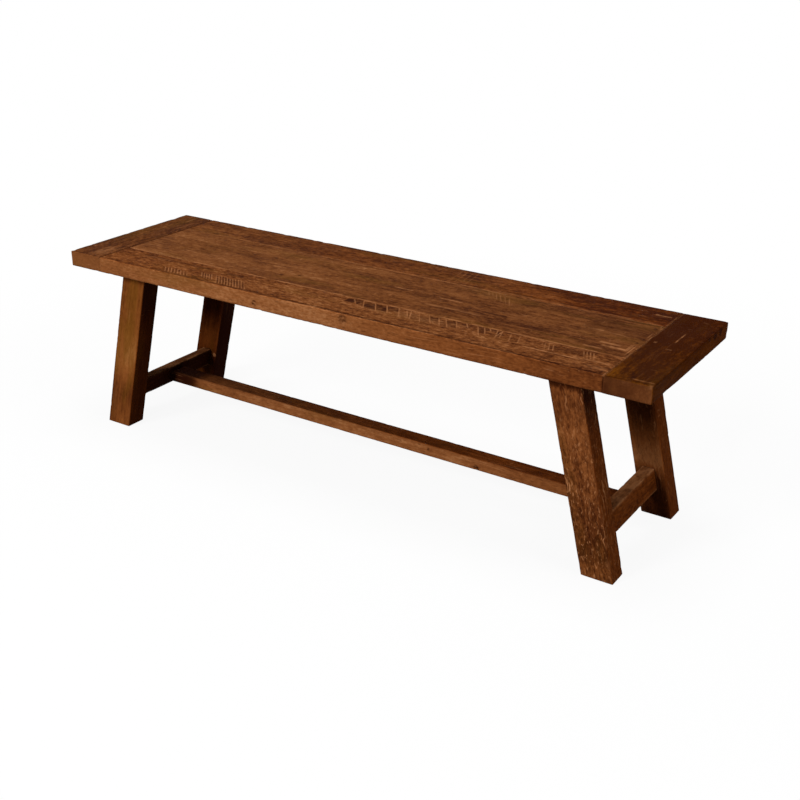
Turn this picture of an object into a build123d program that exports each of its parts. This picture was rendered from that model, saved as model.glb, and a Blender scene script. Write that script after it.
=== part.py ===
from build123d import *
import math
import os

# A rustic backless dining bench: a plank seat with breadboard ends on four legs that splay
# along its length, tied by two end stretchers and one long stretcher.
# Lengths are in millimetres. X runs along the bench, Y from the front edge (negative) to the
# back edge, and Z up from the floor, with the origin on the floor under the middle of the seat.

# Whole bench
seat_length = 1500.0
seat_width = 410.0
seat_height = 450.0
seat_thickness = 37.0
leg_splay = 13.75  # degrees from upright, along the bench

# Seat planks and breadboard ends
middle_board_width = 208.0
breadboard_width = 97.0
seat_arris = 1.0  # bevel of the seat's outer edges
seam_bevel = 1.2  # bevel along each joint between planks, on the top face
long_tongue_thickness = 10.0
long_tongue_depth = 8.0
end_tongue_thickness = 12.0
end_tongue_depth = 10.0
end_tongue_setback = 16.0  # the end tongues stop short of the seat's front and back edges
tenon_reach = 56.0  # from the planks' shoulder to the tenon's end
outer_tenon_width = 48.0
middle_tenon_width = 110.0
seasonal_play = 2.0  # room at each side of a tenon, a slot or the groove for the wood to move

# Breadboard pegs
peg_diameter = 8.0
peg_setback = 30.0  # from the planks' shoulder
peg_cover = 8.0  # wood left over a peg's end, so that the top stays clean

# Legs
leg_width = 69.0  # square to the leg's length
leg_depth = 51.0
leg_end_setback = 150.0  # leg's outer face at the seat's underside, from the seat's end
leg_edge_setback = 22.0  # leg's outer side, from the seat's long edge
leg_arris = 0.8
foot_bevel = 1.5
leg_dowel_diameter = 12.0
leg_dowel_reach = 20.0  # into the leg and as far into the seat

# End stretchers
end_stretcher_thickness = 28.0
end_stretcher_height = 48.0
end_stretcher_clearance = 64.0  # from the floor
end_stretcher_setback = 23.0  # in from the leg's outer face
end_tenon_shoulder = 7.0
end_tenon_length = 26.0

# Long stretcher
long_stretcher_width = 42.0
long_stretcher_height = 29.0
long_stretcher_clearance = 71.0  # from the floor
long_tenon_shoulder = 5.0
long_tenon_length = 18.0
stretcher_arris = 0.8

# Leg bearers
bearer_width = 50.0
bearer_height = 28.0
bearer_tenon_shoulder = 8.0
bearer_tenon_length = 18.0
bearer_bevel = 2.0

# Flat-headed furniture bolts through the bearers, and their threaded inserts in the seat
bolt_diameter = 8.0
bolt_reach = 40.0  # under the head
bolt_spacing = 150.0
bolt_head_diameter = 17.0
bolt_head_height = 3.0
bolt_recess_depth = 4.0
hex_socket_width = 5.0  # across the flats
hex_socket_depth = 2.0
insert_diameter = 12.0
insert_length = 18.0

# Middle batten and its screws
batten_length = 300.0
batten_width = 60.0
batten_thickness = 18.0
batten_end_bevel = 8.0
screw_count = 3  # one in each plank
screw_spacing = 130.0
screw_diameter = 4.5
screw_length = 34.0
screw_head_diameter = 9.0
screw_head_height = 2.5

# Clearances and cutting overrun
glue_gap = 0.1
end_gap = 1.0  # beyond a tongue's or tenon's end
bolt_gap = 0.5
overrun = 5.0

# Places worked out from the sizes above
seat_underside = seat_height - seat_thickness
seat_middle_level = seat_height - seat_thickness / 2
front_seam = -middle_board_width / 2
back_seam = middle_board_width / 2
shoulder_x = seat_length / 2 - breadboard_width
lean = math.tan(math.radians(leg_splay))
leg_level_width = leg_width / math.cos(math.radians(leg_splay))
leg_outer_side = seat_width / 2 - leg_edge_setback
leg_inner_side = leg_outer_side - leg_depth
end_stretcher_top = end_stretcher_clearance + end_stretcher_height
long_stretcher_top = long_stretcher_clearance + long_stretcher_height
outer_tenon_y = (seat_width / 2 + back_seam) / 2
leg_dowel_y = (leg_inner_side + bearer_tenon_length + leg_outer_side) / 2  # clear of the bearer's tenon


def leg_face_x(level):
    """How far out the right-hand legs' outer face stands at a height above the floor."""
    return seat_length / 2 - leg_end_setback + (seat_underside - level) * lean


def leg_centre_x(level):
    """Middle of the right-hand legs at a height above the floor."""
    return leg_face_x(level) - leg_level_width / 2


bearer_x = leg_centre_x(seat_underside - bearer_height / 2)


def block(x_low, x_high, y_low, y_high, z_low, z_high):
    """A box between two opposite corners."""
    corner = Pos(x_low, y_low, z_low)
    return corner * Box(
        x_high - x_low,
        y_high - y_low,
        z_high - z_low,
        align=(Align.MIN, Align.MIN, Align.MIN),
    )


def prism_along_y(outline, y_low, y_high):
    """A bar along Y whose end is an outline of (x, z) points."""
    corners = [(x, y_low, z) for x, z in outline]
    end_face = make_face(Polyline(*corners, close=True))
    return extrude(end_face, amount=y_high - y_low, dir=(0, 1, 0))


def leaning_bar(inset, width, z_low, z_high, y_low, y_high):
    """A bar that leans with the right-hand legs, its outer face set in from the legs' outer face."""
    outline = [
        (leg_face_x(z_low) - inset, z_low),
        (leg_face_x(z_high) - inset, z_high),
        (leg_face_x(z_high) - inset - width, z_high),
        (leg_face_x(z_low) - inset - width, z_low),
    ]
    return prism_along_y(outline, y_low, y_high)


def upright_rod(x, y, z_low, z_high, diameter):
    """A round rod or the cutter of a round hole, standing upright."""
    return Pos(x, y, z_low) * Cylinder(
        diameter / 2,
        z_high - z_low,
        align=(Align.CENTER, Align.CENTER, Align.MIN),
    )


def upright_slot(x, y, z_low, z_high, diameter, play, taper=0):
    """Cutter of an upright hole, longer across the bench by its play; its walls may taper upwards."""
    outline = Circle(diameter / 2)
    if play:
        outline = Rot(0, 0, 90) * SlotOverall(diameter + 2 * play, diameter)
    return extrude(Pos(x, y, z_low) * outline, amount=z_high - z_low, taper=taper)


def tenon_places():
    """Each breadboard tenon: its middle across the bench, its width, and the play of its peg hole."""
    return [
        (-outer_tenon_y, outer_tenon_width, seasonal_play),
        (0, middle_tenon_width, 0),
        (outer_tenon_y, outer_tenon_width, seasonal_play),
    ]


def end_joint(y_low, y_high):
    """The right-hand end tongue of a plank, with the tenons that lie within its width."""
    tongue_low = max(y_low, -seat_width / 2 + end_tongue_setback)
    tongue_high = min(y_high, seat_width / 2 - end_tongue_setback)
    z_low = seat_middle_level - end_tongue_thickness / 2
    z_high = seat_middle_level + end_tongue_thickness / 2
    joint = block(shoulder_x, shoulder_x + end_tongue_depth, tongue_low, tongue_high, z_low, z_high)
    for y, width, play in tenon_places():
        if y_low < y < y_high:
            joint += block(
                shoulder_x, shoulder_x + tenon_reach, y - width / 2, y + width / 2, z_low, z_high
            )
            joint -= upright_slot(
                shoulder_x + peg_setback,
                y,
                z_low - overrun,
                z_high + overrun,
                peg_diameter + 2 * glue_gap,
                play,
            )
    return joint


def plank(y_low, y_high):
    """A seat plank without its edge joints: bevelled along its seams and at the seat's edges."""
    body = block(-shoulder_x, shoulder_x, y_low, y_high, seat_underside, seat_height)
    for side_y, place in ((y_low, 0), (y_high, -1)):
        side_edges = body.edges().filter_by(Axis.X).group_by(Axis.Y)[place]
        if abs(side_y) < seat_width / 2:
            body = chamfer(side_edges.sort_by(Axis.Z)[-1], seam_bevel)
        else:
            body = chamfer(side_edges, seat_arris)
    for end in (Axis.X, -Axis.X):
        end_face = body.faces().sort_by(end)[-1]
        body = chamfer(end_face.edges().sort_by(Axis.Z)[-1], seam_bevel)
    right = end_joint(y_low, y_high)
    return body + right + mirror(right, about=Plane.YZ)


def long_tongue(seam, direction, gap):
    """The tongue beyond a seam of the middle plank, or with a gap the groove that takes it."""
    reach = long_tongue_depth + (end_gap if gap else 0)
    y_low, y_high = sorted((seam, seam + direction * reach))
    half = long_tongue_thickness / 2 + gap
    return block(-shoulder_x, shoulder_x, y_low, y_high, seat_middle_level - half, seat_middle_level + half)


def leg_dowel_hole(side):
    """Cutter of the two dowel holes in one long side of the seat, or in the legs' tops."""
    reach = leg_dowel_reach + end_gap
    hole = upright_rod(
        leg_centre_x(seat_underside),
        side * leg_dowel_y,
        seat_underside - reach,
        seat_underside + reach,
        leg_dowel_diameter + 2 * glue_gap,
    )
    return hole + mirror(hole, about=Plane.YZ)


def screw_places():
    """Places of the batten screws across the bench."""
    first = -(screw_count - 1) * screw_spacing / 2
    return [first + index * screw_spacing for index in range(screw_count)]


def screw_pilots():
    """Cutter of the batten screws' holes in the planks."""
    tip = seat_underside - batten_thickness + screw_length + end_gap
    pilots = [
        upright_rod(0, y, seat_underside - overrun, tip, screw_diameter + 2 * glue_gap)
        for y in screw_places()
    ]
    return Compound(pilots)


def bolt_places():
    """Places of the four bearer bolts, as x and y."""
    return [(x, y) for x in (-bearer_x, bearer_x) for y in (-bolt_spacing / 2, bolt_spacing / 2)]


def insert_seats():
    """Cutter of the threaded inserts' holes in the seat's underside."""
    depth = insert_length + end_gap
    seats = [
        upright_rod(
            x, y, seat_underside - overrun, seat_underside + depth, insert_diameter + 2 * glue_gap
        )
        for x, y in bolt_places()
    ]
    return Compound(seats)


def seat_board_front():
    board = plank(-seat_width / 2, front_seam)
    board -= long_tongue(front_seam, -1, glue_gap)
    board -= leg_dowel_hole(-1)
    return board - screw_pilots()


def seat_board_back():
    board = plank(back_seam, seat_width / 2)
    board -= long_tongue(back_seam, 1, glue_gap)
    board -= leg_dowel_hole(1)
    return board - screw_pilots()


def seat_board_middle():
    board = plank(front_seam, back_seam)
    board += long_tongue(front_seam, -1, 0)
    board += long_tongue(back_seam, 1, 0)
    board -= screw_pilots()
    return board - insert_seats()


def breadboard():
    """The right-hand breadboard: stopped groove, deeper mortises and blind peg holes from below."""
    half_width = seat_width / 2
    board = block(shoulder_x, seat_length / 2, -half_width, half_width, seat_underside, seat_height)
    end_face = board.faces().sort_by(Axis.X)[-1]
    board = chamfer(end_face.edges() + board.edges().filter_by(Axis.X), seat_arris)
    seam_face = board.faces().sort_by(Axis.X)[0]
    board = chamfer(seam_face.edges().filter_by(Axis.Y).sort_by(Axis.Z)[-1], seam_bevel)
    z_low = seat_middle_level - end_tongue_thickness / 2 - glue_gap
    z_high = seat_middle_level + end_tongue_thickness / 2 + glue_gap
    groove_half = half_width - end_tongue_setback + seasonal_play
    groove_end = shoulder_x + end_tongue_depth + end_gap
    board -= block(shoulder_x - overrun, groove_end, -groove_half, groove_half, z_low, z_high)
    for y, width, play in tenon_places():
        half = width / 2 + (seasonal_play if play else glue_gap)
        mortise_end = shoulder_x + tenon_reach + end_gap
        board -= block(shoulder_x - overrun, mortise_end, y - half, y + half, z_low, z_high)
        board -= upright_rod(
            shoulder_x + peg_setback,
            y,
            seat_underside - overrun,
            seat_height - peg_cover + end_gap,
            peg_diameter + 2 * glue_gap,
        )
    return board


def breadboard_pegs():
    """Blind pegs driven from below through the breadboards' tenons."""
    pegs = []
    for y, _, _ in tenon_places():
        peg = upright_rod(
            shoulder_x + peg_setback, y, seat_underside, seat_height - peg_cover, peg_diameter
        )
        pegs += [peg, mirror(peg, about=Plane.YZ)]
    return Compound(pegs)


def end_tenon_mortise(side, gap):
    """One tenon of the right-hand end stretcher, or with a gap the mortise that takes it."""
    shoulder = end_tenon_shoulder - gap
    reach = end_tenon_length + (end_gap if gap else 0)
    y_low, y_high = sorted((side * leg_inner_side, side * (leg_inner_side + reach)))
    return leaning_bar(
        end_stretcher_setback + shoulder,
        end_stretcher_thickness - 2 * shoulder,
        end_stretcher_clearance + shoulder,
        end_stretcher_top - shoulder,
        y_low,
        y_high,
    )


def bearer_tenon(side, gap):
    """One tenon of the right-hand bearer, or with a gap the mortise that takes it."""
    shoulder = bearer_tenon_shoulder - gap
    reach = bearer_tenon_length + (end_gap if gap else 0)
    y_low, y_high = sorted((side * leg_inner_side, side * (leg_inner_side + reach)))
    return block(
        bearer_x - bearer_width / 2 + shoulder,
        bearer_x + bearer_width / 2 - shoulder,
        y_low,
        y_high,
        seat_underside - bearer_height + shoulder,
        seat_underside - shoulder,
    )


def leg():
    """The right-hand back leg, cut level at its foot and under the seat."""
    bar = leaning_bar(0, leg_level_width, 0, seat_underside, leg_inner_side, leg_outer_side)
    foot = bar.faces().sort_by(Axis.Z)[0]
    bar = chamfer(foot.edges(), foot_bevel)
    leaning_edges = [edge for edge in bar.edges() if edge.length > seat_underside / 2]
    bar = chamfer(leaning_edges, leg_arris)
    bar -= end_tenon_mortise(1, glue_gap)
    bar -= bearer_tenon(1, glue_gap)
    return bar - leg_dowel_hole(1)


def leg_dowels():
    """Dowels that locate the seat on the legs."""
    dowels = [
        upright_rod(
            side_x * leg_centre_x(seat_underside),
            side_y * leg_dowel_y,
            seat_underside - leg_dowel_reach,
            seat_underside + leg_dowel_reach,
            leg_dowel_diameter,
        )
        for side_x in (-1, 1)
        for side_y in (-1, 1)
    ]
    return Compound(dowels)


def spanning_bar(reach, z_low, z_high, half_width):
    """A bar along the bench, its ends leaning with the end stretchers and passing their faces by reach."""
    inner_face = end_stretcher_setback + end_stretcher_thickness
    outline = [
        (-leg_face_x(z_low) + inner_face - reach, z_low),
        (-leg_face_x(z_high) + inner_face - reach, z_high),
        (leg_face_x(z_high) - inner_face + reach, z_high),
        (leg_face_x(z_low) - inner_face + reach, z_low),
    ]
    return prism_along_y(outline, -half_width, half_width)


def long_tenons(gap):
    """The long stretcher's core from tenon to tenon, or with a gap the cutter of both mortises."""
    shoulder = long_tenon_shoulder - gap
    return spanning_bar(
        long_tenon_length + (end_gap if gap else 0),
        long_stretcher_clearance + shoulder,
        long_stretcher_top - shoulder,
        long_stretcher_width / 2 - shoulder,
    )


def end_stretcher():
    """The right-hand end stretcher: leaning faces, level edges, a blind tenon at each end."""
    rail = leaning_bar(
        end_stretcher_setback,
        end_stretcher_thickness,
        end_stretcher_clearance,
        end_stretcher_top,
        -leg_inner_side,
        leg_inner_side,
    )
    rail = chamfer(rail.edges().filter_by(Axis.Y), stretcher_arris)
    for side in (-1, 1):
        rail += end_tenon_mortise(side, 0)
    return rail - long_tenons(glue_gap)


def long_stretcher():
    """The rail along the bench, with shoulders cut to the end stretchers' lean."""
    rail = spanning_bar(0, long_stretcher_clearance, long_stretcher_top, long_stretcher_width / 2)
    rail = chamfer(rail.edges().filter_by(Axis.X), stretcher_arris)
    return rail + long_tenons(0)


def leg_bearer():
    """The right-hand bearer between the legs' tops, with recessed bolt holes."""
    low = seat_underside - bearer_height
    rail = block(
        bearer_x - bearer_width / 2,
        bearer_x + bearer_width / 2,
        -leg_inner_side,
        leg_inner_side,
        low,
        seat_underside,
    )
    rail = chamfer(rail.edges().filter_by(Axis.Y).group_by(Axis.Z)[0], bearer_bevel)
    for side in (-1, 1):
        y = side * bolt_spacing / 2
        rail += bearer_tenon(side, 0)
        rail -= upright_rod(
            bearer_x, y, low - overrun, seat_underside + overrun, bolt_diameter + 2 * bolt_gap
        )
        recess_diameter = bolt_head_diameter + 2 * bolt_gap
        rail -= upright_rod(bearer_x, y, low - overrun, low + bolt_recess_depth, recess_diameter)
    return rail


def bearer_bolts():
    """Flat-headed bolts with a hexagon socket, heads down."""
    head_top = seat_underside - bearer_height + bolt_recess_depth
    head_low = head_top - bolt_head_height
    bolts = []
    for x, y in bolt_places():
        bolt = upright_rod(x, y, head_low, head_top, bolt_head_diameter)
        bolt += upright_rod(x, y, head_top, head_top + bolt_reach, bolt_diameter)
        hexagon = Pos(x, y, head_low) * RegularPolygon(hex_socket_width / 2, 6, major_radius=False)
        bolt -= extrude(hexagon, amount=hex_socket_depth)
        bolts.append(bolt)
    return Compound(bolts)


def seat_inserts():
    """Threaded inserts sunk in the seat's underside."""
    inserts = []
    for x, y in bolt_places():
        top = seat_underside + insert_length
        insert = upright_rod(x, y, seat_underside, top, insert_diameter)
        insert -= upright_rod(
            x, y, seat_underside - overrun, top + overrun, bolt_diameter + 2 * glue_gap
        )
        inserts.append(insert)
    return Compound(inserts)


def screw_play(y):
    """Room for the outer planks to move past the batten; the middle plank is held fast."""
    return seasonal_play if abs(y) > middle_board_width / 2 else 0


def middle_batten():
    """The flat cleat under the planks, bevelled at its ends, with countersunk screw holes."""
    low = seat_underside - batten_thickness
    half_width = batten_width / 2
    half_length = batten_length / 2
    cleat = block(-half_width, half_width, -half_length, half_length, low, seat_underside)
    cleat = chamfer(cleat.edges().filter_by(Axis.X).group_by(Axis.Z)[0], batten_end_bevel)
    head_taper = math.degrees(
        math.atan((screw_head_diameter - screw_diameter) / (2 * screw_head_height))
    )
    for y in screw_places():
        play = screw_play(y)
        cleat -= upright_slot(
            0, y, low - overrun, seat_underside + overrun, screw_diameter + 2 * glue_gap, play
        )
        cleat -= upright_slot(
            0,
            y,
            low,
            low + screw_head_height,
            screw_head_diameter + 2 * glue_gap,
            play,
            head_taper,
        )
    return cleat


def batten_screws():
    """Countersunk wood screws, heads down."""
    low = seat_underside - batten_thickness
    neck = low + screw_head_height
    screws = []
    for y in screw_places():
        head = Pos(0, y, low) * Cone(
            screw_head_diameter / 2,
            screw_diameter / 2,
            screw_head_height,
            align=(Align.CENTER, Align.CENTER, Align.MIN),
        )
        screws.append(head + upright_rod(0, y, neck, low + screw_length, screw_diameter))
    return Compound(screws)


def build_nodes():
    """Every node of the bench under its name."""
    right_breadboard = breadboard()
    right_end_stretcher = end_stretcher()
    right_bearer = leg_bearer()
    leg_back_right = leg()
    leg_back_left = mirror(leg_back_right, about=Plane.YZ)
    return {
        "seat_board_front": seat_board_front(),
        "seat_board_middle": seat_board_middle(),
        "seat_board_back": seat_board_back(),
        "breadboard_left": mirror(right_breadboard, about=Plane.YZ),
        "breadboard_right": right_breadboard,
        "breadboard_pegs": breadboard_pegs(),
        "leg_back_right": leg_back_right,
        "leg_back_left": leg_back_left,
        "leg_front_right": mirror(leg_back_right, about=Plane.XZ),
        "leg_front_left": mirror(leg_back_left, about=Plane.XZ),
        "leg_dowels": leg_dowels(),
        "end_stretcher_left": mirror(right_end_stretcher, about=Plane.YZ),
        "end_stretcher_right": right_end_stretcher,
        "long_stretcher": long_stretcher(),
        "leg_bearer_left": mirror(right_bearer, about=Plane.YZ),
        "leg_bearer_right": right_bearer,
        "bearer_bolts": bearer_bolts(),
        "seat_inserts": seat_inserts(),
        "middle_batten": middle_batten(),
        "batten_screws": batten_screws(),
    }


os.makedirs("parts", exist_ok=True)
for name, shape in build_nodes().items():
    export_step(shape, f"parts/{name}.step")
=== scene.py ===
"""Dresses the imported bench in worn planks, legs and rails under a reddish-brown stain.

Lengths are in metres in the bench's own frame: X along it, Y from the front edge to the back,
Z up. The tables of saw marks, cracks, chips, marks, spots and knots are in millimetres.
"""

import math

import bmesh
import bpy
import numpy as np
from bpy.props import FloatProperty, FloatVectorProperty, PointerProperty
from mathutils import Matrix, Vector, noise


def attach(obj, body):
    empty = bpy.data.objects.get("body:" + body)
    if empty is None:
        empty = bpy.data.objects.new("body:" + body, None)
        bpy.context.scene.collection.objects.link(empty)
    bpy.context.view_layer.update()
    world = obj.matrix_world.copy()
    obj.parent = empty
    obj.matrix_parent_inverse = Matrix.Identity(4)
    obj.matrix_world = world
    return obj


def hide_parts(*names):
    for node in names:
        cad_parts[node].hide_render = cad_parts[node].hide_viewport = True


bl_info = {
    "name": "Rustic Trestle Bench",
    "version": (1, 0, 0),
    "blender": (4, 5, 0),
    "location": "View3D > Sidebar > Bench",
    "description": "Worn, stained looks for the packed trestle bench",
    "category": "Object",
}

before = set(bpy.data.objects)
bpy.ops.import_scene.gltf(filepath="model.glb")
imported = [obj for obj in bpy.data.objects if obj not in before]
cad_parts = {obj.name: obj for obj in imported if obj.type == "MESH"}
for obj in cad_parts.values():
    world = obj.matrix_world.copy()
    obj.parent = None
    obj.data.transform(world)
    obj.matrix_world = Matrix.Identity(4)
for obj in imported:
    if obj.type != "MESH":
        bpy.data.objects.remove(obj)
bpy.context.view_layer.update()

AXES = {
    "right": (1, 0, 0), "left": (-1, 0, 0),
    "back": (0, 1, 0), "front": (0, -1, 0),
    "top": (0, 0, 1), "under": (0, 0, -1),
}
ENDS = ("left", "right")
FLANKS = ("front", "back")
LEVELS = ("under", "top")
FACING = 0.9  # least cosine between a face's normal and the side it lies on
MERGE_DISTANCE = 1e-6
FLAT_ANGLE = math.radians(0.5)
SMOOTH_ANGLE = math.radians(58)

# grime darkens real grime in cracks, joints and saw marks, and is also painted shade along edges
# and on shaded faces; tone and warm carry some painted light and shade as well
MARKS = ("worn", "grime", "sawn", "tone", "warm", "olive", "calm")  # read by the finish
PAINT_DEPTH = 0.002  # how far below a face its paint fades out
EDGE_ROWS = (0.0022, 0.0042, 0.0075, 0.012)  # depths of the cuts beside a worn face
SEAM_REACH = {"worn": 0.0033, "grime": 0.004}  # width of a seam's mark on the top
CHIP_SCALE = (65, 65, 65)
CRACK_ROWS = (-1.5, -1, -0.5, 0, 0.5, 1, 1.5)  # cuts beside a crack, in half widths
CRACK_REACH = 0.009  # how far from a crack's sides its cuts go
CRACK_MARGIN = 0.02  # how far its cuts go past its ends
SAW_HALF_WIDTH = 0.0022
SAW_DEPTH = 0.00045
SAW_REACH = 0.012


def millimetres(*values):
    """Millimetres as metres."""
    return tuple(value * 0.001 for value in values)


def saw_run(x_from, x_to, y_back, y_front, pitch, slant, darkness):
    """Even saw marks: how far each runs along the bench for a step across it is the slant."""
    count = int(round((x_to - x_from) / pitch))
    shift = slant * (y_back - y_front)
    starts = [(x_from + step * pitch, darkness) for step in range(count)]
    starts.append((x_from + count * pitch, 0))
    return [(x, y_back, x + shift, y_front, dark, 0, 1) for x, dark in starts]


# Where the sawmill's blade marked the seat: x and y of a mark's back end, x and y of its
# front end, darkness up to the next mark, and the shares it starts and ends at
SAW_MARKS = {
    "seat_board_front": [
        (27, -110, 47, -135, 1, 0, 1), (51, -108, 74, -146, 1, 0.1, 0.9),
        (82, -110, 106, -146, 1, 0, 0.85), (108, -104, 136, -147, 0.9, 0, 0.6),
        (139, -104, 165, -147, 0.35, 0.2, 1), (160, -106, 182, -140, 0.6, 0.5, 1),
        (171, -106, 193, -150, 0.45, 0.3, 1), (192, -108, 222, -156, 0.5, 0.2, 0.9),
        (214, -105, 243, -148, 0.7, 0.1, 0.8), (241, -110, 266, -150, 0.45, 0.2, 1),
        (257, -108, 284, -150, 0.8, 0.1, 0.8), (281, -106, 302, -142, 0.4, 0, 0.5),
        (306, -107, 322, -130, 0, 0, 1), (332, -106, 359, -153, 0.7, 0.1, 0.8),
        (347, -105, 366, -139, 0.7, 0, 1), (360, -105, 369, -120, 0.6, 0, 1),
        (378, -105, 393, -146, 0.5, 0.2, 1), (389, -105, 400, -140, 0, 0, 1),
        *saw_run(412, 432, -112, -146, 20, 0.35, 0.15),
        *saw_run(490, 508, -116, -146, 9, 0.4, 0.15),
        *saw_run(572, 593, -115, -149, 7, 0.45, 0.25),
        *saw_run(-470, -403, -170, -193, 9.5, 0.85, 0.4),
        *saw_run(-372, -342, -154, -182, 7.5, 0.85, 0.6),
        *saw_run(-331, -249, -151, -193, 8.2, 0.85, 0.65),
    ],
    "seat_board_middle": [
        (243, 99, 256, 77, 0, 0, 1), (252, 100, 265, 78, 0.15, 0, 1),
        (265, 93, 286, 57, 0.15, 0, 1), (276, 90, 298, 55, 0.2, 0, 1),
        (291, 85, 314, 46, 0.2, 0, 1), (305, 79, 324, 43, 0, 0, 1),
    ],
    "seat_board_back": saw_run(122, 164, 192, 112, 14, 0.12, 0.1),
}


def noise_at(points, scale, seed, octaves=2):
    """Smooth noise from about -1 to 1 at each point, stretched by a scale for each axis."""
    shift = Vector((seed * 7.13, seed * 3.71, seed * 5.39))
    factors = Vector(scale)
    return np.array(
        [noise.fractal(Vector(p) * factors + shift, 0.9, 2.1, octaves) for p in points]
    )


def fade(depth, reach):
    """1 at a face, falling smoothly to 0 at a depth below it."""
    share = np.clip(1 - depth / reach, 0, 1)
    return share * share * (3 - 2 * share)


def window(values, low, high, soft):
    """1 between two values, falling smoothly to 0 outside them."""
    rise = np.clip((values - low) / soft + 0.5, 0, 1)
    fall = np.clip((high - values) / soft + 0.5, 0, 1)
    return rise * fall


class Face:
    """A flat outer face of a node, by its outward normal and its distance along it."""

    def __init__(self, bm, side):
        wanted = Vector(AXES[side])
        facing = [f for f in bm.faces if f.normal.dot(wanted) > FACING]
        widest = max(facing, key=lambda f: f.calc_area())
        self.normal = widest.normal.copy()
        self.level = self.normal.dot(widest.verts[0].co)

    def depth(self, points):
        """How far each point lies below the face."""
        return self.level - points @ np.array(self.normal)


def node_mesh(node):
    """A merged copy of a CAD node's mesh, its flat faces joined up."""
    bm = bmesh.new()
    bm.from_mesh(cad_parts[node].data)
    bmesh.ops.remove_doubles(bm, verts=bm.verts, dist=MERGE_DISTANCE)
    bmesh.ops.dissolve_limit(
        bm, angle_limit=FLAT_ANGLE, use_dissolve_boundaries=False, verts=bm.verts, edges=bm.edges
    )
    return bm


def bisect(bm, part, normal, level):
    """Cuts part of a mesh along a plane, and returns that part with its new points."""
    return bmesh.ops.bisect_plane(
        bm, geom=part, dist=MERGE_DISTANCE, plane_co=normal * level, plane_no=normal
    )["geom"]


def rows_between(low, high, spacing):
    """Levels of cuts between two opposite faces: fine beside the faces, even between them."""
    inner = EDGE_ROWS[-1]
    rows = {low + depth for depth in EDGE_ROWS} | {high - depth for depth in EDGE_ROWS}
    span = high - low - 2 * inner
    count = max(int(span / spacing), 0)
    rows |= {low + inner + span * step / (count + 1) for step in range(1, count + 1)}
    return sorted(row for row in rows if low < row < high)


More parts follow.
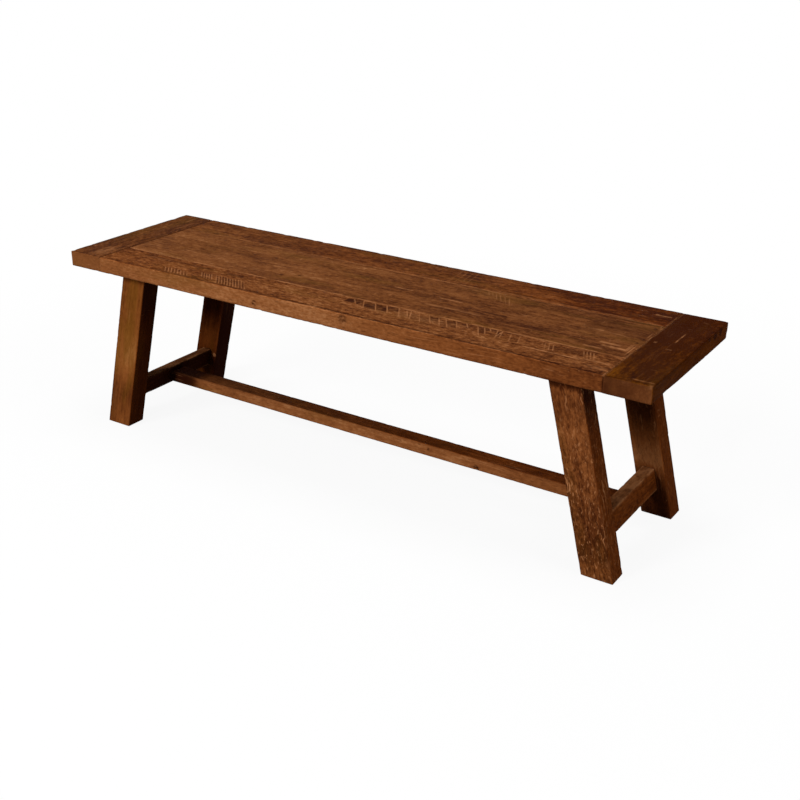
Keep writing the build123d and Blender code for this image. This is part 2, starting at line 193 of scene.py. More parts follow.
class Piece:
    """A worn stand-in for a CAD node, cut from a copy of its mesh."""

    def __init__(self, node, seed):
        self.node = node
        self.seed = seed
        self.sizes = bpy.context.scene.bench_sizes
        self.bm = node_mesh(node)

    def cut_grid(self, sides, spacings):
        """Cuts a grid into the piece, then reads its points, which carry no marks yet."""
        self.faces = {side: Face(self.bm, side) for pair in sides for side in pair}
        for (low, high), spacing in zip(sides, spacings):
            face = self.faces[high]
            for level in rows_between(-self.faces[low].level, face.level, spacing):
                everything = self.bm.verts[:] + self.bm.edges[:] + self.bm.faces[:]
                bisect(self.bm, everything, face.normal, level)
        self.read_points()

    def cut_along(self, line, offsets, reach, margin=0.006):
        """Cuts the top along a line, from x and y of its two ends, and beside it."""
        x_from, y_from, x_to, y_to = millimetres(*line)
        start, end = Vector((x_from, y_from, 0)), Vector((x_to, y_to, 0))
        along = (end - start).normalized()
        across = Vector((-along.y, along.x, 0))
        length = (end - start).length
        level = across.dot(start)
        near = []
        for face in self.bm.faces:
            middle = face.calc_center_median()
            if (
                face.normal.z > FACING
                and -margin < along.dot(middle - start) < length + margin
                and abs(across.dot(middle) - level) < reach
            ):
                near.append(face)
        verts = {vert for face in near for vert in face.verts}
        edges = {edge for face in near for edge in face.edges}
        part = [*verts, *edges, *near]
        for offset in offsets:
            part = bisect(self.bm, part, across, level + offset)

    def read_points(self):
        """Notes where the points are after the last cut."""
        self.points = np.array([v.co for v in self.bm.verts])
        self.start = self.points.copy()
        self.marks = {name: np.zeros(len(self.points)) for name in MARKS}

    def raise_mark(self, name, values, where=slice(None)):
        """Raises a mark to new values where they're higher."""
        self.marks[name][where] = np.maximum(self.marks[name][where], values)

    def paint(self, side, mark, amount, places=None, axis=0):
        """Adds to a mark all over a face: one amount, or amounts at places along an axis."""
        if places:
            amount = np.interp(self.start[:, axis], places, amount)
        self.marks[mark] += fade(self.faces[side].depth(self.start), PAINT_DEPTH) * amount

    def paint_all(self, paints):
        """Adds several paints."""
        for paint in paints:
            self.paint(*paint)

    def undulate(self, sides, depth, scale):
        """Presses the faces in by a smooth, uneven amount, as hand planing leaves them."""
        for place, side in enumerate(sides):
            face = self.faces[side]
            below = face.depth(self.start)
            near = below < EDGE_ROWS[-1]
            waves = noise_at(self.start[near], scale, self.seed + 11 * place)
            amount = depth * (0.5 + 0.5 * waves).clip(0, 1) * fade(below[near], EDGE_ROWS[-1])
            self.points[near] -= amount[:, None] * np.array(face.normal)

    def wear_edge(self, first, second, depth, chips=0, mark="worn", strength=0.3, reach=0.006):
        """Rounds and chips the edge between two faces, and marks it as worn, or darkens it with
        the grime and shade mark.
        """
        one, other = self.faces[first], self.faces[second]
        below_one, below_other = one.depth(self.start), other.depth(self.start)
        outside = np.minimum(below_one, below_other) <= -0.001
        near = (np.maximum(below_one, below_other) < reach) & ~outside
        if not near.any():
            return
        points = self.start[near]
        weight = fade(below_one[near], reach) * fade(below_other[near], reach)
        soft = (0.55 + 0.6 * noise_at(points, (9, 9, 9), self.seed + 31)).clip(0.1, 1)
        bite = ((noise_at(points, CHIP_SCALE, self.seed + 47) - 0.25) / 0.5).clip(0, 1)
        amount = (depth * soft + chips * bite) * weight
        inward = -(one.normal + other.normal).normalized()
        self.points[near] += amount[:, None] * np.array(inward)
        self.raise_mark(mark, strength * weight * (0.6 + 0.4 * soft), near)

    def darken_edge(self, first, second, strength, reach=0.005):
        """Darkens the edge between two faces with the grime and shade mark, as painted shade, and
        leaves its shape.
        """
        self.wear_edge(first, second, 0, 0, "grime", strength, reach)

    def saw_marks(self, marks):
        """Raises each saw mark as a light ridge, with sunken, darker wood up to the next one."""
        top = fade(self.faces["top"].depth(self.start), 0.003)
        x, y = self.start[:, 0], self.start[:, 1]
        ragged = (0.75 + 0.7 * noise_at(self.start, (50, 50, 1), self.seed + 5)).clip(0.2, 1)
        uneven = (0.85 + 0.7 * noise_at(self.start, (90, 90, 1), self.seed + 7)).clip(0.45, 1)
        for place, (*line, darkness, dark_from, dark_to) in enumerate(marks):
            x_back, y_back, x_front, y_front = millimetres(*line)
            share = (y_back - y) / (y_back - y_front)
            beside = x - (x_back + share * (x_front - x_back))
            inside = window(share, 0, 1, 0.12) * top
            length = math.hypot(x_front - x_back, y_back - y_front)
            width = SAW_HALF_WIDTH * length / (y_back - y_front)
            ridge = np.clip(1 - np.abs(beside) / width, 0, 1) * inside * ragged
            self.raise_mark("sawn", ridge)
            if not darkness:
                continue
            next_x, next_y, next_x_front, next_y_front = millimetres(*marks[place + 1][:4])
            next_share = (next_y - y) / (next_y - next_y_front)
            to_next = next_x + next_share * (next_x_front - next_x) - x
            between = np.clip(beside / width, 0, 1) * np.clip(to_next / width, 0, 1) * inside
            sunk = between * window(next_share, -0.1, 1.1, 0.12)
            self.points[:, 2] -= SAW_DEPTH * sunk
            dark = darkness * sunk * window(share, dark_from, dark_to, 0.3) * uneven
            self.raise_mark("grime", dark)

    def crack(self, *row):
        """Opens a crack along the top between two points, after cuts made along it."""
        *lengths, grime = row
        x0, y0, x1, y1, half_width, depth, wander = millimetres(*lengths)
        surface = fade(self.faces["top"].depth(self.start), EDGE_ROWS[1])
        line = y0 + (self.start[:, 0] - x0) / (x1 - x0) * (y1 - y0)
        away = np.abs(self.start[:, 1] - line)
        reach = 2 * half_width
        near = (away < reach) & (surface > 0)
        points = self.start[near]
        drift = noise_at(points * (1, 0, 0), (17, 1, 1), self.seed + 71, 3)
        self.points[near, 1] += wander * drift * fade(away[near], reach)
        width = noise_at(points * (1, 0, 0), (30, 1, 1), self.seed + 73, 3)
        open_share = window(points[:, 0], x0, x1, 0.05) * (0.9 + 0.6 * width).clip(0.35, 1)
        inside = fade(away[near], half_width) * open_share * surface[near]
        self.points[near, 2] -= depth * inside
        self.raise_mark("grime", grime * inside, near)

    def chip(self, centre, radius, depth, inward):
        """Breaks wood away from an edge or a corner, and leaves it bare."""
        radius, depth = millimetres(radius, depth)
        away = np.linalg.norm(self.start - np.array(millimetres(*centre)), axis=1)
        rough = (0.7 + 0.6 * noise_at(self.start, (160, 160, 160), self.seed + 83)).clip(0.2, 1.2)
        share = fade(away, radius) * rough
        self.points += (depth * share)[:, None] * np.array(Vector(inward).normalized())
        self.raise_mark("worn", 0.6 * share.clip(0, 1))

    def finish(self, material, body="root"):
        """Makes the piece's object, which then stands for the CAD node."""
        mesh = bpy.data.meshes.new(self.node + "_worn")
        self.points = self.points.clip(self.start.min(axis=0), self.start.max(axis=0))
        for vert, place in zip(self.bm.verts, self.points):
            vert.co = place
        many_sided = [f for f in self.bm.faces if len(f.verts) > 4]
        bmesh.ops.triangulate(self.bm, faces=many_sided)
        self.bm.to_mesh(mesh)
        self.bm.free()
        for name, values in self.marks.items():
            attribute = mesh.attributes.new(name, "FLOAT", "POINT")
            attribute.data.foreach_set("value", values.astype(np.float32))
        mesh.polygons.foreach_set("use_smooth", [True] * len(mesh.polygons))
        mesh.set_sharp_from_angle(angle=SMOOTH_ANGLE)
        mesh.materials.append(material)
        piece = bpy.data.objects.new(self.node + "_worn", mesh)
        bpy.context.scene.collection.objects.link(piece)
        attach(piece, body)
        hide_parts(self.node)


class Finish:
    """Adds nodes to one material, or to the world, and links them."""

    def __init__(self, owner):
        self.owner = owner
        owner.use_nodes = True
        self.tree = owner.node_tree
        self.tree.nodes.clear()

    def node(self, kind, inputs, **settings):
        """A new node, each input given a value or linked to another node's output."""
        made = self.tree.nodes.new("ShaderNode" + kind)
        for key, value in settings.items():
            setattr(made, key, value)
        for key, value in inputs.items():
            if isinstance(value, bpy.types.NodeSocket):
                self.tree.links.new(value, made.inputs[key])
            else:
                made.inputs[key].default_value = value
        return made

    def place(self):
        return self.node("TexCoord", {}).outputs["Object"]

    def math(self, operation, *values):
        return self.node("Math", dict(enumerate(values)), operation=operation).outputs[0]

    def times(self, first, second):
        return self.math("MULTIPLY", first, second)

    def vector(self, operation, *values):
        made = self.node("VectorMath", dict(enumerate(values)), operation=operation)
        return made.outputs["Value" if operation == "LENGTH" else "Vector"]

    def noise(self, place, scale, detail=2, roughness=0.5, output="Fac"):
        """Noise around 0.5 on coordinates stretched by a scale for each axis."""
        stretched = self.vector("MULTIPLY", place, scale)
        inputs = {"Vector": stretched, "Scale": 1, "Detail": detail, "Roughness": roughness}
        return self.node("TexNoise", inputs).outputs[output]

    def drift(self, place, scale, reach):
        """Noise that shifts a point across the grain, up to half a reach either way."""
        shift = self.vector("SUBTRACT", self.noise(place, scale, output="Color"), (0.5, 0.5, 0.5))
        return self.vector("MULTIPLY", shift, (0, reach, reach))

    def between(self, value, low, high, new_low=0, new_high=1):
        """A value's place between two others, smoothed, from 0 to 1 or between two new ones."""
        names = ("Value", "From Min", "From Max", "To Min", "To Max")
        inputs = dict(zip(names, (value, low, high, new_low, new_high)))
        return self.node("MapRange", inputs, interpolation_type="SMOOTHSTEP").outputs["Result"]

    def swing(self, texture, share, total):
        """A total, plus a share of how far a texture is above or below its middle."""
        return self.math("MULTIPLY_ADD", self.math("SUBTRACT", texture, 0.5), share, total)

    def strongest(self, masks):
        """The highest of several masks."""
        total = masks[0]
        for mask in masks[1:]:
            total = self.math("MAXIMUM", total, mask)
        return total

    def blend(self, factor, first, colour, kind="MIX"):
        """The first colour blended with a second one, given as red, green and blue."""
        inputs = {0: factor, 6: first, 7: (*colour, 1)}
        made = self.node("Mix", inputs, data_type="RGBA", blend_type=kind, clamp_factor=True)
        return made.outputs[2]

    def ramp(self, factor, stops):
        """The colour at a factor among stops, each a place and a colour."""
        made = self.node("ValToRGB", {"Fac": factor})
        elements = made.color_ramp.elements
        for place, _ in stops[:-2]:
            elements.new(place)
        for element, (place, colour) in zip(elements, stops):
            element.position = place
            element.color = (*colour, 1)
        return made.outputs["Color"]

    def mark(self, name):
        """A mark painted on the piece."""
        return self.node("Attribute", {}, attribute_name=name).outputs["Fac"]

    def away(self, place, x, y, half_x, half_y):
        """How far a place is from a point on the seat, in shares of two half widths."""
        x, y, half_x, half_y = millimetres(x, y, half_x, half_y)
        from_centre = self.vector("SUBTRACT", place, (x, y, 0))
        return self.vector("MULTIPLY", from_centre, (1 / half_x, 1 / half_y, 0))

    def ellipse(self, place, *row):
        """1 inside an ellipse on the seat, seen from above, and 0 outside it."""
        return self.between(self.vector("LENGTH", self.away(place, *row)), 1, 0.4)

    def bar(self, place, *row):
        """A strength inside a soft-edged bar on the seat, seen from above, and 0 outside it."""
        *rectangle, strength = row
        away = self.vector("ABSOLUTE", self.away(place, *rectangle))
        parts = self.node("SeparateXYZ", {"Vector": away}).outputs
        across = self.between(parts["Y"], 1, 0.35)
        inside = self.times(self.between(parts["X"], 1, 0.75), across)
        return self.times(inside, strength)

    def spots(self, place, rows, core, texture, *limits):
        """A texture between limits inside each spot, whole in its core and fading out."""
        masks = []
        for x, y, z, radius, strength in rows:
            away = self.vector("LENGTH", self.vector("SUBTRACT", place, millimetres(x, y, z)))
            near = self.between(away, radius * 0.001, radius * 0.001 * core, 0, strength)
            masks.append(self.times(self.between(texture, *limits), near))
        return masks

    def seen(self):
        """1 for rays from the camera, its reflections included, and 0 for light on the bench."""
        rays = self.node("LightPath", {}).outputs
        direct = self.math("MAXIMUM", rays["Is Camera Ray"], rays["Is Glossy Ray"])
        return self.math("MAXIMUM", direct, rays["Is Transmission Ray"])

    def surface(self, inputs, height, strength, distance):
        """Ends the material with a shader whose surface is bumped by a height."""
        bump = self.node("Bump", {"Height": height, "Strength": strength, "Distance": distance})
        shader = self.node("BsdfPrincipled", {**inputs, "Normal": bump.outputs["Normal"]})
        self.node("OutputMaterial", {"Surface": shader.outputs["BSDF"]})
        return self.owner


def stained_wood(name, look):
    """Rough stained wood: rings, streaks and pores along the grain, knots and worn edges."""
    f = Finish(bpy.data.materials.new(name))
    colours = bpy.context.scene.bench_stain
    place = f.place()
    mapping = {"Vector": place, "Location": look["shift"], "Rotation": look["turn"]}
    turned = f.node("Mapping", mapping).outputs["Vector"]

    sway = f.drift(turned, (3, 9, 9), 0.03)
    grain = f.vector("ADD", turned, sway)
    if look["curl"]:
        grain = f.vector("ADD", grain, f.drift(turned, (30, 30, 30), look["curl"]))
    if look["knots"]:
        knot = f.strongest([f.ellipse(place, *row) for row in look["knots"]])
        swirl = f.times(knot, 0.012)
        lift = f.node("CombineXYZ", {"Y": swirl, "Z": swirl}).outputs["Vector"]
        grain = f.vector("ADD", grain, lift)

    from_pith = f.vector("SUBTRACT", grain, (0, *look["pith"]))
    ring_radius = f.vector("LENGTH", f.vector("MULTIPLY", from_pith, (0.03, 1, 1)))
    ring_phase = f.times(ring_radius, 2 * math.pi / look["ring_width"])
    ring = f.math("MULTIPLY_ADD", f.math("SINE", ring_phase), 0.5, 0.5)
    ring_line = f.math("POWER", ring, 3)

    streak = f.noise(grain, look["streak_scale"], 3, 0.6)
    broad = f.noise(grain, (3, 19, 19))
    blotch = f.noise(turned, (9, 15, 15), 3, 0.55)
    fibre = f.noise(grain, (16, 420, 420), 3, 0.6)
    mottle = f.noise(turned, (45, 70, 70), 2, 0.6)
    speck = f.noise(turned, (100, 210, 210), 2, 0.65)
    torn = f.noise(grain, (70, 240, 240), 3, 0.65)
    pore = f.between(f.noise(grain, (55, 1100, 1100), 1), 0.6, 0.72)
    dark_fleck = f.between(f.noise(grain, (38, 150, 150), 1), 0.66, 0.78)
    light_fleck = f.between(f.noise(grain, (150, 38, 190), 1), 0.69, 0.8)
    scratch = f.between(f.noise(grain, (9, 300, 300), 1), 0.6, 0.7)
    scuffed_field = f.between(f.noise(turned, (9, 17, 17)), 0.5, 0.66)
    scuff = f.times(scratch, scuffed_field)

    tone = 0
    grains = {"streak": streak, "broad": broad, "blotch": blotch, "fibre": fibre, "mottle": mottle}
    for part, texture in grains.items():
        tone = f.swing(texture, look[part], tone)
    tone = f.math("MULTIPLY_ADD", ring_line, -look["ring"], tone)
    tone = f.swing(speck, look["speck"], tone)
    # The tone mark holds painted light and shade on some faces as well as the wood's own tone
    steady = f.math("ADD", f.mark("tone"), look["tone"])
    tone = f.math("MULTIPLY_ADD", tone, f.math("SUBTRACT", 1, f.mark("calm")), steady)
    dark_stops = [(0, colours.deep), (0.3, colours.dark), (0.55, colours.middle)]
    colour = f.ramp(tone, [*dark_stops, (0.78, colours.light), (1, colours.pale)])
    green = f.between(f.noise(turned, (5, 21, 21)), 0.52, 0.72, 0, look["olive"])
    colour = f.blend(green, colour, colours.patch)

    wavy = f.vector("ADD", place, f.vector("MULTIPLY", sway, (0, 0.25, 0)))
    broken = f.between(f.noise(turned, (60, 120, 120), 2, 0.6), 0.34, 0.5, 0.65, 1)
    darks = [
        f.times(pore, 0.45),
        f.times(dark_fleck, look["flecks"]),
        # Painted shade along edges and on shaded faces darkens here with real grime in cracks and
        # joints
        f.times(f.mark("grime"), broken),
        *f.spots(place, look["flakes"], 0.5, torn, 0.44, 0.34),
        *f.spots(place, look["dark_spots"], 0.4, speck, 0.62, 0.42, 0.3, 1),
        *(f.bar(wavy, *row) for row in look["dark_marks"]),
    ]
    if look["knots"]:
        darks.append(f.times(knot, f.between(speck, 0.62, 0.42, 0.15, 0.65)))
    colour = f.blend(f.strongest(darks), colour, colours.grime)
    # The warm mark reddens the stain, and on dim faces it paints the redder colour of shade
    colour = f.blend(f.mark("warm"), colour, colours.warm, "MULTIPLY")
    colour = f.blend(f.mark("olive"), colour, colours.olive, "MULTIPLY")

    patchy = f.between(mottle, 0.35, 0.6, 0.3, 1)
    rubbed = f.between(f.noise(turned, (22, 45, 45), 3, 0.65), 0.4, 0.58, 0.15, 1)
    lights = [
        f.times(scuff, look["scuffs"]),
        f.times(light_fleck, look["glints"]),
        f.times(f.mark("worn"), f.times(rubbed, look["worn"])),
        f.times(f.mark("sawn"), look["sawn"]),
        *f.spots(place, look["flakes"], 0.5, torn, 0.56, 0.68),
        *f.spots(place, look["light_spots"], 0.5, mottle, 0.3, 0.55, 0.4, 1),
        *(f.times(f.bar(wavy, *row), patchy) for row in look["light_marks"]),
    ]
    colour = f.blend(f.strongest(lights), colour, colours.worn)

    relief = f.times(fibre, 0.45)
    for height, share in ((streak, 0.7), (pore, -0.5), (ring_line, -0.25), (scuff, -0.3)):
        relief = f.math("MULTIPLY_ADD", height, share, relief)
    rough = f.math("MULTIPLY_ADD", pore, 0.15, f.between(blotch, 0.3, 0.7, 0.68, 0.8))
    inputs = {"Base Color": colour, "Roughness": rough, "Specular IOR Level": 0.01}
    return f.surface(inputs, relief, look["bump"], 0.0009)


PLAIN_LOOK = dict(
    tone=0.52, streak=0.85, streak_scale=(14, 80, 80), curl=0, broad=0.6,
    blotch=0.7, fibre=0.4, mottle=0.6, speck=0.7, ring=0.06, ring_width=0.009,
    pith=(0.02, -0.09), olive=0.25, flecks=0.45, glints=0.25, scuffs=0.3,
    worn=0.7, sawn=0, bump=0.5,
    knots=(),  # x, y, half length and half width
    light_marks=(),  # x, y, half length, half width and strength
    dark_marks=(),
    light_spots=(),  # x, y, z, radius and strength
    dark_spots=(), flakes=(),
)


def look(**changes):
    """The common look of the wood, with some values changed."""
    return {**PLAIN_LOOK, **changes}


ALONG_BENCH = (0, 0, 0)
ACROSS_BENCH = (0, 0, math.radians(-90))

FRONT_LOOK = look(
    turn=ALONG_BENCH, shift=(0.31, 0.12, 0.4), sawn=0.65, speck=2, worn=1,
    knots=[(395, -125, 9, 8), (-292, -130, 9, 6), (-402, -154, 9, 6)],
    dark_spots=[(62, -205, 439, 15, 0.75), (-177, -205, 428, 9, 0.9)],
    light_marks=[
        (525, -157, 70, 3, 0.8), (390, -126, 1.8, 20, 0.8), (20, -106, 95, 1.6, 0.8),
        (-320, -106, 230, 1.4, 0.55), (605, -150, 45, 4, 0.5), (625, -180, 25, 12, 0.3),
    ],
    dark_marks=[
        (-475, -126, 125, 8, 0.45), (27, -124, 14, 15, 0.95), (545, -130, 45, 14, 0.45),
        (387, -125, 1.6, 20, 0.8), (-292, -130, 28, 7, 0.5), (-390, -150, 70, 3, 0.35),
    ],
)
MIDDLE_LOOK = look(
    turn=ALONG_BENCH, shift=(1.7, -0.2, 0.9), sawn=0.35, tone=0.5, streak=0.75,
    streak_scale=(8, 90, 90), speck=1, worn=1,
    dark_spots=[
        (640, -17, 450, 6, 1), (642, 9, 450, 8, 0.9), (644, 62, 450, 6, 0.9),
        (641, 79, 450, 7, 0.9),
    ],
    knots=[
        (355, -35, 9, 8), (-170, -45, 10, 9), (-303, 30, 13, 9), (-527, -45, 10, 7),
        (-211, -65, 9, 7), (-398, 98, 14, 6),
    ],
    light_marks=[
        (240, -50, 75, 6, 0.35), (78, 8, 27, 3.5, 0.6), (205, 0, 32, 4, 0.5),
        (612, -64, 30, 6, 0.8), (575, -82, 22, 4, 0.45), (598, -47, 26, 6, 0.5),
        (540, 12, 20, 5, 0.4), (638, -50, 4, 26, 0.5), (645, -60, 1.6, 37, 0.6),
        (646, 36, 1.6, 20, 0.6), (646, 95, 1.6, 9, 0.6), (-592, -54, 22, 4, 0.45),
        (-513, -40, 18, 4, 0.45), (-409, -9, 22, 4, 0.4), (-252, -21, 24, 4, 0.4),
        (-390, 44, 20, 4, 0.4),
    ],
    dark_marks=[
        (327, -26, 34, 3.5, 0.8), (480, -52, 82, 3.5, 0.7), (-120, -98, 120, 3, 0.3),
        (585, 45, 80, 52, 0.42),
    ],
)
BACK_LOOK = look(
    turn=ALONG_BENCH, shift=(2.9, 0.33, 0.2), tone=0.4, speck=1.1, sawn=0.25,
    dark_spots=[(161, 113, 450, 9, 0.8), (145, 179, 450, 8, 0.7)],
    light_marks=[(625, 163, 20, 5, 0.7), (435, 109, 215, 3, 0.35)],
    # The long dark mark along the back edge is painted shade
    dark_marks=[(635, 145, 20, 7, 0.6), (60, 203, 640, 3.5, 0.6)],
)
LEFT_LOOK = look(
    turn=ACROSS_BENCH, shift=(0.5, 0.9, 0.1), tone=0.38, streak=0.8, speck=1.3, mottle=0.35,
    blotch=0.5, ring=0.03,
    light_marks=[(-685, -155, 18, 40, 0.35), (-700, 172, 2, 32, 0.5)],
    dark_marks=[(-700, -60, 8, 60, 0.3)],
)
RIGHT_LOOK = look(
    turn=ACROSS_BENCH, shift=(1.3, 2.2, 0.6), tone=0.16, ring=0.03, streak=0.75, broad=1,
    speck=0.8, olive=0.15, flecks=0.25, scuffs=0.1, glints=0.1,
    light_marks=[
        (702, 58, 1.8, 38, 0.6), (705, -15, 7, 3.5, 0.6), (725, -190, 25, 3, 0.35),
        (668, 10, 4, 6, 0.4),
    ],
    dark_marks=[
        (675, 20, 13, 180, 0.35), (680, 128, 34, 36, 0.35), (672, -202, 20, 2.5, 0.8),
        (722, -198, 16, 2.5, 0.8), (696, -167, 3, 9, 1), (703, -182, 5, 10, 1),
    ],
    dark_spots=[
        (750, 92, 449, 10, 1.6), (750, 125, 447, 15, 1.8), (750, 158, 445, 13, 1.8),
    ],
)
SMOOTH_LOOK = look(
    tone=0.5, streak=0.4, fibre=0.25, mottle=0.25, speck=0.3, scuffs=0.15, glints=0.1, olive=0.5,
    bump=0.35, worn=0.35,
)
HEWN_LOOK = look(
    tone=0.42, streak=0.75, streak_scale=(24, 190, 190), curl=0.016, fibre=0.8, mottle=0.5,
    speck=0.8, scuffs=1, olive=0.15, bump=0.9, worn=0.6,
)


def number(name, description, default, unit="NONE"):
    """A number that a user can change."""
    return FloatProperty(name=name, description=description, default=default, unit=unit)


def colour(name, description, default):
    """A colour that a user can change."""
    details = {"name": name, "description": description, "default": default}
    return FloatVectorProperty(subtype="COLOR", **details)


class BenchSizes(bpy.types.PropertyGroup):
    """How deeply the wood is worn and how finely it is cut up"""

    waves: number("Planing waves", "Depth of the waves on a sawn face", 0.0003, "LENGTH")
    rough_waves: number("Hewn waves", "Depth of the waves on a rough face", 0.0006, "LENGTH")
    edge_wear: number("Edge wear", "How far the outer edges are rubbed down", 0.0004, "LENGTH")
    chips: number("Chips", "Depth of the chips along the outer edges", 0.0012, "LENGTH")
    spacing: number("Spacing", "Distance between the cuts along a piece", 0.006, "LENGTH")


class BenchStain(bpy.types.PropertyGroup):
    """Colours of the stained wood"""

    deep: colour("Deep", "Darkest streaks", (0.04, 0.0095, 0.0025))
    dark: colour("Dark", "Dark streaks", (0.098, 0.029, 0.008))
    middle: colour("Middle", "Body of the stain", (0.17, 0.056, 0.016))
    light: colour("Light", "Light streaks", (0.225, 0.08, 0.025))
    pale: colour("Pale", "Lightest streaks", (0.31, 0.13, 0.05))
    patch: colour("Patches", "Greenish patches", (0.12, 0.055, 0.007))
    worn: colour("Worn", "Bare wood on worn edges", (0.4, 0.165, 0.064))
    # Also the colour of the painted shade along edges and on shaded faces
    grime: colour("Grime", "Stain gathered in cracks", (0.028, 0.006, 0.002))
    # Also tints dim faces redder, as painted shade
    warm: colour("Warm", "Share kept by the redder stain", (1, 0.7, 0.35))
    olive: colour("Olive", "Share kept by the greener stain", (0.93, 1, 0.25))


class BenchStage(bpy.types.PropertyGroup):
    """Camera, lamps and floor"""

    lens: number("Lens", "Focal length in millimetres", 52.76)
    low_power: number("Low power", "Power of the far, low lamp in front", 700, "POWER")
    front_power: number("Front power", "Power of the far lamp in front", 1450, "POWER")
    high_power: number("High power", "Power of the lamp high in front", 121, "POWER")
    overhead_power: number("Overhead power", "Power of the lamp above the bench", 96, "POWER")
    side_power: number("Side power", "Power of the lamp at the right", 66, "POWER")
    sky: number("Sky", "Strength of the light from all round", 0.14)
    floor_colour: colour("Floor", "Colour of the floor", (0.16, 0.16, 0.16))


CAMERA_PLACE = (1.42096, -2.07997, 1.27862)
CAMERA_TURN = (-0.57434, 0.41681, 0.00764)  # yaw, pitch downwards and roll
SENSOR_WIDTH = 36  # millimetres
FARTHEST_SEEN = 200
LAMPS = (
    # name, place, side of its square
    ("low", (0, -20, 1.3), 2),
    ("front", (0, -20, 3), 2),
    ("high", (-1.4, -4, 3.2), 1.2),
    ("overhead", (0, 0.2, 5), 2),
    ("side", (4.6, 0, 2.75), 2.6),
)
LAMP_AIM = (0, 0, 0.3)
FLOOR_SIZE = 60
WHITE = (1, 1, 1)


def add_lamp(name, place, power, size):
    """A soft square lamp aimed at the bench."""
    lamp = bpy.data.objects.new(name, bpy.data.lights.new(name, "AREA"))
    lamp.data.shape = "SQUARE"
    lamp.data.size = size
    lamp.data.energy = power
    lamp.location = place
    lamp.visible_camera = False
    lamp.rotation_euler = (Vector(LAMP_AIM) - Vector(place)).to_track_quat("-Z", "Y").to_euler()
    bpy.context.scene.collection.objects.link(lamp)


def add_camera(lens):
    """The photo's camera, turned by its yaw, its pitch and its roll."""
    camera = bpy.data.objects.new("photo_camera", bpy.data.cameras.new("photo_camera"))
    camera.data.lens = lens
    camera.data.sensor_width = SENSOR_WIDTH
    camera.data.clip_end = FARTHEST_SEEN
    yaw, pitch, roll = CAMERA_TURN
    forward = math.cos(pitch)
    ahead = Vector((math.sin(yaw) * forward, math.cos(yaw) * forward, -math.sin(pitch)))
    level_right = Vector((math.cos(yaw), -math.sin(yaw), 0))
    upright = level_right.cross(ahead)
    right = math.cos(roll) * level_right + math.sin(roll) * upright
    up = math.cos(roll) * upright - math.sin(roll) * level_right
    turn = Matrix((right, up, -ahead)).transposed()
    camera.matrix_world = Matrix.Translation(CAMERA_PLACE) @ turn.to_4x4()
    bpy.context.scene.collection.objects.link(camera)
    bpy.context.scene.camera = camera


def pale_studio(sky):
    """A world that the camera sees as white and that lights the bench more faintly."""
    f = Finish(bpy.data.worlds.new("pale_studio"))
    strength = f.node("MapRange", {"Value": f.seen(), "To Min": sky, "To Max": 1})
    inputs = {"Color": (*WHITE, 1), "Strength": strength.outputs["Result"]}
    background = f.node("Background", inputs)
    f.node("OutputWorld", {"Surface": background.outputs["Background"]})
    return f.owner


def pale_floor(tint):
    """Pale floor that the camera sees as white, with the bench's shadow on it."""
    f = Finish(bpy.data.materials.new("pale_floor"))
    seen = f.seen()
    far = f.between(f.vector("LENGTH", f.place()), 0.9, 1.9, 0.92, 1)
    diffuse = f.node("BsdfDiffuse", {"Color": f.blend(seen, (*tint, 1), WHITE)}).outputs["BSDF"]
    white = f.node("Emission", {"Color": (*WHITE, 1), "Strength": 1}).outputs["Emission"]
    share = f.times(seen, far)
    mixed = f.node("MixShader", {0: share, 1: diffuse, 2: white}).outputs[0]
    f.node("OutputMaterial", {"Surface": mixed})
    return f.owner


class BENCH_OT_stage(bpy.types.Operator):
    """Add the camera, the lamps and the floor"""

    bl_idname = "bench.stage"
    bl_label = "Stage"

    def execute(self, context):
        stage = context.scene.bench_stage
        add_camera(stage.lens)
        for name, place, size in LAMPS:
            add_lamp(name + "_lamp", place, getattr(stage, name + "_power"), size)
        context.scene.world = pale_studio(stage.sky)

        bm = bmesh.new()
        bmesh.ops.create_grid(bm, x_segments=1, y_segments=1, size=FLOOR_SIZE / 2)
        mesh = bpy.data.meshes.new("floor")
        bm.to_mesh(mesh)
        bm.free()
        floor = bpy.data.objects.new("floor", mesh)
        mesh.materials.append(pale_floor(stage.floor_colour))
        context.scene.collection.objects.link(floor)
        context.scene.view_settings.view_transform = "Standard"
        return {"FINISHED"}


